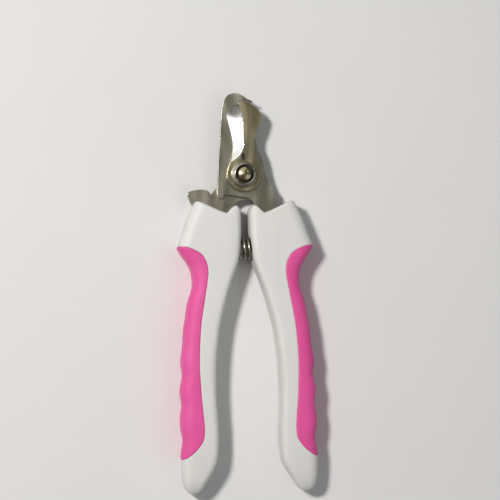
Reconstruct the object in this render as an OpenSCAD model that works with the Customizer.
// Scissor-style pet nail clipper: two plier halves on one pivot bolt.
// The object lies flat on its back. +Z is the pivot axis (nut side up, called the front),
// the jaws point to +Y and the handles to -Y. The origin is on the pivot axis, on the
// plane the object rests on. Handles are drawn on the +X side (right) and mirrored.
// Suffixes: _t thickness, _r radius, _h height, _d depth, _z lowest z, _pts outline.

/* [Blade plates] */
// thickness of each of the three steel plates
plate_t = 1.6; // [1.4:0.1:1.8]
// running gap between two neighbouring plates
plate_gap = 0.06; // [0.04:0.01:0.10]
// radius of the pivot lobe of the front blade
lobe_r = 5.6; // [5.2:0.1:6.0]
// radius of the eye of the rear plate
eye_r = 6.8; // [6.4:0.1:7.2]
// steel left at the cutting edge after grinding
edge_t = 0.35; // [0.25:0.05:0.60]
// radius of the wheel that hollow-grinds the front blade
grind_r = 15; // [12:1:30]
// x of the ridge where the hollow grind runs out
ridge_x = 0.0; // [-0.1:0.05:0.5]
// radius of the round nail notch in the hook blade
notch_r = 4.4; // [4.1:0.1:4.6]
// largest radius the locking tooth of the hook blade reaches
tooth_r = 11.15; // [11.0:0.05:11.2]

/* [Pivot hardware] */
// radius of the pivot bolt's shank
pivot_r = 3.0; // [2.8:0.05:3.1]
// distance across the two flats of the shank
pivot_flats = 4.8; // [4.6:0.1:5.2]
// radial running clearance of the hook blade on the shank
pivot_clear = 0.04; // [0.02:0.01:0.08]
// radius of the bolt head
head_r = 4.8; // [4.4:0.1:5.2]
// thickness of the bolt head
head_t = 2.2; // [1.8:0.1:2.6]
// radius of the bolt's threaded end
stud_r = 2.25; // [2.2:0.05:2.5]
// height of the dome on the bolt's end
dome_h = 0.55; // [0.4:0.05:0.8]
// radius of the flat washers
washer_r = 4.4; // [4.2:0.1:4.8]
// thickness of the front washer
washer_t = 0.5; // [0.4:0.05:0.6]
// outer radius of the spring washer under the nut
spring_washer_r = 3.95; // [3.8:0.05:4.1]
// thickness of the spring washer
spring_washer_t = 0.4; // [0.3:0.05:0.5]
// radius of the round nut
nut_r = 3.5; // [3.4:0.05:3.7]
// thickness of the nut
nut_t = 1.9; // [1.6:0.1:2.0]
// outer radius of the ring groove in the nut's face
nut_groove_r = 3.1; // [2.9:0.05:3.2]
// depth of the ring groove
nut_groove_d = 0.7; // [0.4:0.1:0.9]

/* [Handles] */
// overall thickness of a handle
handle_t = 12; // [11.6:0.1:12.4]
// edge rounding on the inner side of a handle
edge_in = 1.7; // [1.2:0.1:2.0]
// edge rounding on the outer side of a handle
edge_out = 3.2; // [2.6:0.1:3.6]
// thickness of the soft grip over the hard shell
grip_t = 1.5; // [1.0:0.1:1.8]
// radius of the dowels that hold a tang
tang_pin_r = 1.0; // [0.9:0.05:1.1]
// clearance around a tang in its slot
tang_clear = 0.05; // [0.03:0.01:0.10]

/* [Opening spring] */
// outer diameter of the coil
spring_od = 7.5; // [7.0:0.1:7.6]
// wire diameter
spring_wire = 0.95; // [0.8:0.05:1.0]
// number of turns
spring_turns = 9; // [8:1:11]
// distance of the coil's axis below the pivot
spring_drop = 24.8; // [24.4:0.1:25.2]
// half length of the compressed coil
spring_half = 7.4; // [7.0:0.1:7.5]
// radius of the blind bores that seat the coil
spring_bore_r = 4.0; // [3.9:0.05:4.1]

/* [Locking latch] */
// x of the latch pivot pin
latch_x = -14.2; // [-14.4:0.1:-14.0]
// y of the latch pivot pin
latch_y = -12.2; // [-12.4:0.1:-12.0]
// radius of the latch pivot pin
latch_pin_r = 1.0; // [0.9:0.05:1.1]
// radius of the relief that lets the tooth pass
latch_relief_r = 11.35; // [11.30:0.05:11.45]

/* [Hidden] */
$fn = 64;
over = 1; // how far a cutter runs past what it cuts

// stack along the pivot, with the hook blade centred in the handle thickness
stack_gap = 0.02;
mid = handle_t / 2;
hook_z = mid - plate_t / 2;
rear_z = hook_z - plate_gap - plate_t;
front_z = hook_z + plate_t + plate_gap;
washer_z = front_z + plate_t + stack_gap;
spring_washer_z = washer_z + washer_t + stack_gap;
spring_washer_top = spring_washer_z + spring_washer_t;
nut_z = spring_washer_top + stack_gap;
nut_top = nut_z + nut_t;

// fits: radial clearances, and for slots the clearance on each face of the plate
shank_fit = 0.03;
washer_fit = 0.05;
thread_fit = 0.02;
plate_pin_fit = 0.03;
shell_pin_fit = 0.02;
latch_fit = 0.04;
tang_slot_fit = 0.03;
latch_slot_fit = 0.05;
pin_end_gap = 0.05;

grind_edge_x = -5.2;      // x where the hollow grind meets the cutting edge
grind_ends_y = [-2, 28];  // y range of the grinding wheel
notch_at = [1.4, 18.3];
notch_flare = 1.5;        // extra radius of the notch on the hook blade's back face
notch_land = 0.3;         // straight part of the notch below the front face
tooth_corner = [-5, -4];  // the tooth is trimmed only at lower x and lower y than this
head_chamfer = 0.5;
tang_pins = [[11.6, -22.0], [12.4, -41.5]];
tang_pin_length = 8.4;
latch_pin_length = 7.6;
spring_bore_depth = 7.7;  // measured from the plane x = 0

steel = [0.74, 0.74, 0.71];
bright = [0.82, 0.82, 0.80];
dark_steel = [0.52, 0.51, 0.47];
abs_white = [0.90, 0.89, 0.86];
grip_pink = [0.93, 0.30, 0.62];

// ---------- right handle form, tables of [y, value] ----------
outer_x = [
    [-7.6, 16.2], [-9.4, 17.0], [-12.2, 18.2], [-15.2, 19.45], [-18.2, 20.55],
    [-21.1, 21.55], [-23.4, 22.4], [-24.1, 22.6], [-24.7, 22.45], [-25.6, 21.95],
    [-26.9, 21.1], [-28.4, 20.1], [-30.1, 19.0], [-32, 18.2], [-34.2, 17.8],
    [-36.5, 17.75], [-38.7, 18.15], [-40.7, 18.85], [-43, 19.55], [-45.5, 20.0],
    [-48, 20.35], [-50.8, 20.9], [-53.2, 21.15], [-56, 21.3], [-58.8, 21.7],
    [-61.3, 22.1], [-63.2, 22.15], [-65, 21.85], [-66.5, 21.7], [-68.3, 21.95],
    [-70.4, 22.4], [-72.2, 22.6], [-74.2, 22.45], [-76.2, 22.1], [-77.8, 22.2],
    [-79.8, 22.55], [-82, 22.7], [-84.4, 22.6], [-86.6, 22.15], [-88, 21.95],
    [-89.8, 22.15], [-92.2, 22.55], [-94.3, 22.75], [-97, 22.7], [-99.5, 22.6],
    [-101.6, 22.4], [-103.5, 21.95], [-104.9, 21.25], [-105.8, 20.3], [-106.2, 19.9]];
inner_x = [
    [-7.6, 1.45], [-13, 1.45], [-18, 1.5], [-21, 1.65], [-24.3, 1.9], [-26.5, 2.1],
    [-28.2, 2.4], [-30.2, 2.95], [-32.2, 3.65], [-34.8, 4.65], [-38.8, 5.95],
    [-42.7, 7.1], [-46, 8.0], [-49, 8.75], [-52, 9.35], [-56.5, 9.95], [-61, 10.4],
    [-65, 10.65], [-69, 10.8], [-72.5, 10.85], [-76, 10.75], [-80, 10.55],
    [-84, 10.35], [-88, 10.3], [-92, 10.5], [-94.8, 10.85], [-97, 11.6],
    [-99.5, 12.95], [-101.6, 14.2], [-103.5, 15.35], [-104.9, 16.4], [-105.8, 17.55],
    [-106.2, 18.3]];
// where the soft grip meets the hard shell on the flat faces
border_x = [
    [-7.6, 14.3], [-23.4, 21.2], [-23.95, 22.3], [-24.15, 20.2], [-24.7, 18.7],
    [-25.4, 17.0], [-26.5, 15.3], [-28, 14.1], [-30, 13.35], [-32, 13.05],
    [-34.2, 13.15], [-37, 13.6], [-43, 14.6], [-49, 15.6], [-56, 16.25],
    [-62, 16.5], [-67, 16.45], [-75, 16.0], [-82, 15.4], [-85, 15.3], [-88, 15.7],
    [-90.4, 17.2], [-92.4, 19.3], [-93.6, 20.9], [-94.3, 22.3], [-95, 21.5],
    [-100, 21.2], [-103.5, 20.6], [-104.9, 20.0], [-105.8, 19.4], [-106.2, 19.3]];
half_thickness = [
    [-7.6, mid - 0.4], [-12, mid - 0.22], [-18, mid - 0.08], [-24, mid], [-70, mid],
    [-84, mid - 0.08], [-92, mid - 0.3], [-96, mid - 0.55],
    [-99.5, mid - 0.9], [-101.6, mid - 1.25], [-103.5, mid - 1.9],
    [-104.9, mid - 2.8], [-105.8, mid - 3.9], [-106.2, mid - 4.9]];
grip_depth = [
    [-23.95, 0], [-24.15, 0.35], [-25.4, grip_t * 0.8], [-28, grip_t],
    [-88, grip_t], [-92.4, grip_t * 0.7], [-93.6, 0.35], [-94.3, 0]];

// y of the sections
grip_ys = concat([-24.15, -24.7, -25.4, -26.5, -28, -30, -32, -34.2, -36.5, -38.7],
    [for (i = [0 : 30]) -40.7 - i * 1.54],
    [-88.1, -89.8, -91.2, -92.4, -93.6]);
shell_ys = concat([-7.6, -12.2, -18.2, -23.4, -23.95], grip_ys,
    [-94.3, -97, -99.5, -101.6, -103.5, -104.9, -105.8, -106.2]);

// ---------- plate outlines, [x, y] ----------
front_blade_pts = [
    [-5.18, 19.72], [-5.12, 20.7], [-4.55, 21.7], [-3.75, 22.6], [-2.75, 23.3],
    [-1.45, 23.75], [-0.85, 24.3], [-0.3, 24.65], [0.5, 24.7], [1.7, 24.25], [3.1, 23.6],
    [4.4, 22.7], [5.5, 21.5],
    [6.05, 20.45], [6.25, 19.6], [6.18, 18.75], [5.5, 16.8], [4.76, 14.8],
    [4.2, 13.5], [4.02, 12.4], [3.88, 10.4], [3.82, 8.6], [3.92, 7.2], [4.3, 5.8],
    [4.8, 4.2], [5.3, 2.2], [4, -1], [-4, -1], [-5.3, 2.2], [-4.7, 3.7],
    [-4.1, 4.9], [-3.7, 6.1], [-3.45, 7.6], [-3.3, 9.96], [-3.5, 11.8],
    [-3.85, 13.7], [-4.27, 15.68], [-4.75, 17.7]];
// area of the front blade that the grinding wheel may touch
grind_area_pts = [
    [-9, 26], [-9, 4.6], [-5.2, 4.9], [-3.4, 5.5], [-1.6, 6.5],
    [-0.3, 7.9], [0.5, 9.6], [0.6, 23.0], [0.1, 23.5], [-1, 26]];
// the tang inside the right handle; the left one is its mirror image
tang_pts = [
    [10.65, -6.1], [10.95, -9.5], [12.3, -14.5], [14.1, -19.5], [14.6, -26],
    [14.0, -34], [14.4, -42], [14.6, -47], [14.2, -48.2], [13.2, -48.6],
    [12.1, -48.2], [11.6, -47], [10.2, -40], [9.2, -34], [8.7, -30], [8.7, -19.5],
    [7.2, -16.2], [4.9, -13.1], [4.0, -11.5]];
tang_root = [[9.8, -5.0]];
hook_blade_pts = concat([
    [-6.45, -6.39], [-7.35, -7.75], [-8.1, -7.66], [-8.75, -6.9], [-8.85, -6.0],
    [-8.72, -3.3], [-8.4, 2.5], [-7.95, 8.39], [-7.45, 14.7], [-6.83, 21.1],
    [-6.62, 23.0], [-6.3, 24.4], [-5.72, 25.76], [-4.7, 26.95], [-3.33, 27.5],
    [-1.9, 27.6], [-0.65, 27.3], [0.6, 26.7], [1.66, 25.93], [2.7, 25.35],
    [3.4, 25.05], [3.75, 24.7], [3.5, 24.4], [2.5, 24.35], [1.55, 24.75],
    [1.0, 25.35], [0.35, 25.65], [-0.35, 25.45], [-0.7, 24.9], [-0.8, 24.1],
    [-1.2, 23.4], [-2.2, 22.0], [-1.0, 12.6], [1.2, 11.9], [3.0, 12.5], [4.2, 13.1],
    [4.5, 11.9], [4.99, 10.1], [5.5, 8.6], [6.25, 6.73], [6.8, 4.7], [7.16, 2.35],
    [7.7, 0.2], [8.4, -2.03], [9.03, -3.72]],
    tang_root, tang_pts,
    [[3.53, -9.97], [2.89, -8.61], [1.9, -7.95], [0.8, -7.6], [-0.44, -7.45]]);
rear_plate_pts = concat(
    [[6.6, 1.2], [6.6, -3.4], [5.4, -6.0], [3.4, -7.7], [0.88, -8.4], [-0.46, -8.47],
        [-1.81, -8.84], [-2.83, -9.49], [-3.45, -10.3]],
    mirrored(tang_pts),
    [[-9.6, -4.9], [-8.1, -2.8], [-6.6, 1.2]]);
lever_pts = [
    [-19.05, -6.5], [-18.7, -7.2], [-18.3, -8.5], [-17.9, -9.4], [-17.26, -10.33],
    [-16.7, -12.0], [-16.4, -13.4], [-15.4, -14.5], [-14.0, -14.9], [-12.2, -14.7],
    [-9.5, -14.6], [-7.4, -14.2], [-6.2, -13.2], [-5.72, -12.1], [-5.62, -11.2],
    [-5.72, -10.5], [-6.02, -9.75], [-6.35, -9.25], [-6.75, -9.1], [-7.25, -9.12],
    [-8.0, -8.52], [-9.5, -8.0], [-10.3, -7.65], [-10.8, -7.2], [-11.1, -6.5],
    [-11.46, -5.75], [-12.12, -5.2], [-13.0, -4.88], [-14.11, -4.71], [-15.4, -4.78],
    [-16.5, -4.95], [-17.5, -5.15], [-18.3, -5.45], [-18.85, -5.9]];

// ---------- cuts in the handle shells, [x, y] ----------
// the slot the latch swings in
lever_slot_pts = [
    [-22, -4], [-22, -13.5], [-17.6, -14.6], [-16.4, -15.8], [-14.0, -16.2],
    [-10.0, -16.2], [-6.4, -15.8], [-5.2, -14.6], [-5.05, -11.0], [-5.05, -4]];
// what is taken off the pivot end of a shell
top_cut_pts = [
    [-2, -13.4], [1.45, -13.3], [1.55, -12.2], [1.9, -11.3], [2.45, -10.7],
    [3.1, -10.45], [3.7, -10.6], [4.2, -11.0], [6.1, -12.85], [6.35, -12.95],
    [6.6, -12.9], [15.0, -9.2], [15.8, -8.92], [16.4, -8.98], [16.9, -9.35],
    [17.38, -10.3], [19, -10.3], [19, -4], [-2, -4]];
right_slot_pts = concat(tang_root, tang_pts, [[3.53, -9.97], [3.2, -8]]);
left_slot_pts = mirrored(concat(tang_root, tang_pts, [[3.3, -10.2], [3.0, -8]]));

// ---------- outline helpers ----------
// outline mirrored in x, reversed to keep its winding
function mirrored(pts) = [for (i = [len(pts) - 1 : -1 : 0]) [-pts[i][0], pts[i][1]]];
function unit(v) = v / norm(v);
// twice the enclosed area, positive when anticlockwise
function signed_area(pts) =
    [for (i = [0 : len(pts) - 1]) cross(pts[i], pts[(i + 1) % len(pts)])]
    * [for (p = pts) 1];
// outline moved outward along its corner bisectors; 0.4 limits the reach of sharp corners
function grown(pts, distance) =
    let (n = len(pts), winding = signed_area(pts) > 0 ? 1 : -1)
    [for (i = [0 : n - 1])
        let (before = unit(pts[i] - pts[(i + n - 1) % n]),
            after = unit(pts[(i + 1) % n] - pts[i]),
            normal_before = winding * [before[1], -before[0]],
            normal_after = winding * [after[1], -after[0]],
            bisector = unit(normal_before + normal_after))
        pts[i] + bisector * distance / max(0.4, bisector * normal_before)];

// closed skin over a list of sections; columns from alt_from on split their quads
// along the other diagonal (by default none do)
module skin(rings, alt_from = 1000) {
    n = len(rings[0]);
    last = len(rings) - 1;
    polyhedron(
        points = [for (ring = rings) each ring],
        faces = concat(
            [[for (j = [n - 1 : -1 : 0]) j]],
            [for (i = [0 : last - 1]) for (j = [0 : n - 1])
                let (k = (j + 1) % n, low = i * n, high = low + n)
                for (face = j < alt_from
                    ? [[low + j, high + k, high + j], [low + j, low + k, high + k]]
                    : [[low + j, low + k, high + j], [high + j, low + k, high + k]])
                face],
            [[for (j = [0 : n - 1]) last * n + j]]));
}

// ---------- handle sections, [x, height above the parting plane] ----------
arc_steps = 6; // steps across the grip surface
function outer_at(y) = lookup(y, outer_x);
function half_at(y) = lookup(y, half_thickness);
function width_at(y) = outer_at(y) - lookup(y, inner_x);
function border_at(y) = min(lookup(y, border_x), outer_at(y) - 0.15);
// width and height of the outer rounding, then radius of the inner one
function round_w(y) = min(edge_out, 0.34 * width_at(y));
function round_h(y) = min(edge_out * 1.1, half_at(y) * 0.62);
function inner_round(y) = min(edge_in, 0.3 * width_at(y), half_at(y) * 0.6);

// height at x of a flat face at height half that rounds off towards edge_x
function crown(x, edge_x, half, w, h) = x <= edge_x - w ? half
    : half - h * (1 - sqrt(max(0, 1 - pow((x - edge_x + w) / w, 2))));
// points on a crown between two x, closer together towards the second
function crown_pts(x0, x1, steps, edge_x, half, w, h) =
    [for (j = [0 : steps]) let (x = x0 + (x1 - x0) * sin(90 * j / steps))
        [x, crown(x, edge_x, half, w, h)]];

// outer surface from the grip border to the widest point
function surface_pts(y) =
    crown_pts(border_at(y), outer_at(y), arc_steps,
        outer_at(y), half_at(y), round_w(y), round_h(y));
// the shell's surface under the grip
function core_pts(y) =
    let (depth = lookup(y, grip_depth), border = border_at(y),
        edge = outer_at(y) - min(depth, (outer_at(y) - border) * 0.6),
        start = border + min(0.15, (edge - border) * 0.3))
    crown_pts(start, edge, arc_steps, edge, half_at(y) - depth * 0.8,
        round_w(y) - depth * 0.3, round_h(y) - depth * 0.3);
// closed section of the front half of the shell
function shell_section(y) =
    let (inner = lookup(y, inner_x), half = half_at(y), r = inner_round(y),
        outer = outer_at(y), border = border_at(y), core = core_pts(y),
        face_start = min(border, outer - round_w(y)) - 0.8)
    concat([[inner, 0]],
        [for (a = [180 : -22.5 : 90]) [inner + r + r * cos(a), half - r + r * sin(a)]],
        crown_pts(face_start, border, 4, outer, half, round_w(y), round_h(y)),
        core, [[core[arc_steps][0], 0]]);
// closed section of the grip, which wraps from the front face to the back face
function grip_section(y) =
    let (top = surface_pts(y), core = core_pts(y))
    concat(top, [for (j = [arc_steps : -1 : 0]) [top[j][0], -top[j][1]]],
        [for (p = core) [p[0], -p[1]]], [for (j = [arc_steps : -1 : 0]) core[j]]);
function at_y(section, y) = [for (p = section) [p[0], y, p[1]]];

// ---------- blades ----------
// bolt shank section with two flats, parallel to X
module double_d(z, h, r, flats) {
    translate([0, 0, z]) intersection() {
        cylinder(h = h, r = r);
        translate([-r, -flats / 2, 0]) cube([2 * r, flats, h]);
    }
}
module plate(pts, z) translate([0, 0, z]) linear_extrude(plate_t) polygon(pts);
// cutters through the plate that starts at z
module plate_hole(z, r, at = [0, 0])
    translate([at[0], at[1], z - over]) cylinder(h = plate_t + 2 * over, r = r);
module shank_hole(z)
    double_d(z - over, plate_t + 2 * over, pivot_r + shank_fit, pivot_flats + 2 * shank_fit);
module tang_pin_holes(side, z) for (p = tang_pins)
    plate_hole(z, tang_pin_r + plate_pin_fit, [side * p[0], p[1]]);

// grinding wheel along Y, through the cutting edge and the ridge
module grind_wheel() {
    chord = [ridge_x - grind_edge_x, plate_t - edge_t];
    along = unit(chord);
    centre = [grind_edge_x, front_z + edge_t] + chord / 2
        + [-along[1], along[0]] * sqrt(grind_r * grind_r - chord * chord / 4);
    translate([centre[0], grind_ends_y[1], centre[1]]) rotate([90, 0, 0])
        cylinder(h = grind_ends_y[1] - grind_ends_y[0], r = grind_r, $fn = 180);
}
module front_blade() color(bright) difference() {
    union() {
        plate(front_blade_pts, front_z);
        translate([0, 0, front_z]) cylinder(h = plate_t, r = lobe_r);
    }
    shank_hole(front_z);
    intersection() {
        grind_wheel();
        translate([0, 0, front_z - over]) linear_extrude(plate_t + 4 * over)
            polygon(grind_area_pts);
    }
}

// ring that trims the tooth's tip to its radius
module tooth_trim() {
    reach = 20;
    h = plate_t + 4 * over;
    translate([0, 0, hook_z - over]) difference() {
        cylinder(h = plate_t + 2 * over, r = tooth_r + 3);
        translate([0, 0, -over]) cylinder(h = h, r = tooth_r);
        translate([tooth_corner[0], -reach, -over]) cube([2 * reach, 2 * reach, h]);
        translate([-reach, tooth_corner[1], -over]) cube([2 * reach, 2 * reach, h]);
    }
}
module hook_blade() color(steel) difference() {
    skim = 0.01;
    plate(hook_blade_pts, hook_z);
    plate_hole(hook_z, pivot_r + pivot_clear);
    translate([notch_at[0], notch_at[1], hook_z - skim])
        cylinder(h = plate_t - notch_land + skim, r1 = notch_r + notch_flare, r2 = notch_r);
    plate_hole(hook_z, notch_r, notch_at);
    tooth_trim();
    tang_pin_holes(1, hook_z);
}

module rear_plate() color(dark_steel) difference() {
    union() {
        plate(rear_plate_pts, rear_z);
        translate([0, 0, rear_z]) cylinder(h = plate_t, r = eye_r);
    }
    shank_hole(rear_z);
    tang_pin_holes(-1, rear_z);
}

// ---------- pivot hardware ----------
module pivot_bolt() color(steel) union() {
    sunk = 0.2; // overlap of joined parts
    dome_sunk = 0.1;
    dome_r = (stud_r * stud_r + dome_h * dome_h) / (2 * dome_h);
    rotate_extrude() polygon([[0, 0], [head_r - head_chamfer, 0], [head_r, head_chamfer],
        [head_r, head_t], [0, head_t]]);
    double_d(head_t - sunk, spring_washer_top - head_t + sunk, pivot_r, pivot_flats);
    translate([0, 0, spring_washer_top - sunk])
        cylinder(h = nut_top - spring_washer_top + sunk, r = stud_r);
    intersection() {
        translate([0, 0, nut_top - dome_sunk]) cylinder(h = dome_h + dome_sunk, r = stud_r);
        translate([0, 0, nut_top + dome_h - dome_r]) sphere(r = dome_r, $fn = 96);
    }
}

// washer on the shank, chamfered on its upper outer edge
module washer(z, h, r, chamfer) {
    bore = pivot_r + washer_fit;
    translate([0, 0, z]) rotate_extrude()
        polygon([[bore, 0], [r, 0], [r, h - chamfer], [r - chamfer, h], [bore, h]]);
}
module rear_washer() color(steel) washer(z = head_t + stack_gap,
    h = rear_z - head_t - 2 * stack_gap, r = washer_r, chamfer = 0.1);
module front_washer() color(steel)
    washer(z = washer_z, h = washer_t, r = washer_r, chamfer = 0.12);
module spring_washer() color(dark_steel)
    washer(z = spring_washer_z, h = spring_washer_t, r = spring_washer_r, chamfer = 0.1);

module pivot_nut() color(bright) {
    bore = stud_r + thread_fit;
    low_chamfer = 0.15;
    top_chamfer = 0.2;
    groove_taper = 0.15;
    groove_z = nut_t - nut_groove_d;
    translate([0, 0, nut_z]) rotate_extrude() polygon([
        [bore, 0], [nut_r - low_chamfer, 0], [nut_r, low_chamfer],
        [nut_r, nut_t - top_chamfer], [nut_r - top_chamfer, nut_t], [nut_groove_r, nut_t],
        [nut_groove_r - groove_taper, groove_z], [bore, groove_z]]);
}

// ---------- dowels, spring and latch ----------
module dowels(side) color(steel) for (p = tang_pins)
    translate([side * p[0], p[1], mid - tang_pin_length / 2])
        cylinder(h = tang_pin_length, r = tang_pin_r);
module left_tang_pins() dowels(-1);
module right_tang_pins() dowels(1);

// a wire swept along a helix about the X direction
module opening_spring() color(steel) {
    turn_steps = 18;
    wire_sides = 8;
    wire_r = spring_wire / 2;
    coil_r = (spring_od - spring_wire) / 2;
    span = 2 * spring_half - spring_wire;
    steps = turn_steps * spring_turns;
    skin([for (i = [0 : steps])
        let (turn = 360 * i / turn_steps, x = -span / 2 + span * i / steps)
        [for (j = [0 : wire_sides - 1])
            let (a = 360 * j / wire_sides, r = coil_r + wire_r * cos(a))
            [x + wire_r * sin(a), -spring_drop + r * cos(turn), mid + r * sin(turn)]]]);
}

module latch_lever() color(steel) difference() {
    plate(lever_pts, hook_z);
    plate_hole(hook_z, latch_pin_r + latch_fit, [latch_x, latch_y]);
    plate_hole(hook_z, latch_relief_r, $fn = 128);
}
module latch_rod(length, r)
    translate([latch_x, latch_y, mid - length / 2]) cylinder(h = length, r = r);
module latch_pin() color(steel) latch_rod(latch_pin_length, latch_pin_r);

// ---------- handles ----------
// front half of the right shell on the parting plane, with the bores all four halves share
module half_shell() difference() {
    skin([for (y = shell_ys) at_y(shell_section(y), y)]);
    translate([0, 0, -over]) linear_extrude(mid + 2 * over) polygon(top_cut_pts);
    translate([-over, -spring_drop, 0]) rotate([0, 90, 0])
        cylinder(h = spring_bore_depth + over, r = spring_bore_r);
    for (p = tang_pins) translate([p[0], p[1], -over])
        cylinder(h = tang_pin_length / 2 + pin_end_gap + over, r = tang_pin_r + shell_pin_fit);
}
// the half placed as the right or left (side), front or back (face) shell
module shell(side, face) translate([0, 0, mid]) {
    if (side > 0 && face > 0) half_shell();
    if (side > 0 && face < 0) mirror([0, 0, 1]) half_shell();
    if (side < 0 && face > 0) mirror([1, 0, 0]) half_shell();
    if (side < 0 && face < 0) rotate([0, 180, 0]) half_shell();
}
// room for the plate that starts at z
module slot(pts, z, fit)
    translate([0, 0, z - fit]) linear_extrude(plate_t + 2 * fit) polygon(pts);
module right_shell(face) color(abs_white) difference() {
    shell(1, face);
    slot(grown(right_slot_pts, tang_clear), hook_z, tang_slot_fit);
}
module left_shell(face) color(abs_white) difference() {
    shell(-1, face);
    slot(grown(left_slot_pts, tang_clear), rear_z, tang_slot_fit);
    slot(lever_slot_pts, hook_z, latch_slot_fit);
    latch_rod(latch_pin_length + 2 * pin_end_gap, latch_pin_r + shell_pin_fit);
}
module right_handle_front() right_shell(1);
module right_handle_back() right_shell(-1);
module left_handle_front() left_shell(1);
module left_handle_back() left_shell(-1);

module grip() translate([0, 0, mid])
    skin([for (y = grip_ys) at_y(grip_section(y), y)], 3 * (arc_steps + 1));
module right_grip() color(grip_pink) grip();
module left_grip() color(grip_pink) mirror([1, 0, 0]) grip();

front_blade();
hook_blade();
rear_plate();
pivot_bolt();
pivot_nut();
front_washer();
spring_washer();
rear_washer();
left_handle_front();
left_handle_back();
right_handle_front();
right_handle_back();
left_grip();
right_grip();
opening_spring();
latch_lever();
latch_pin();
left_tang_pins();
right_tang_pins();
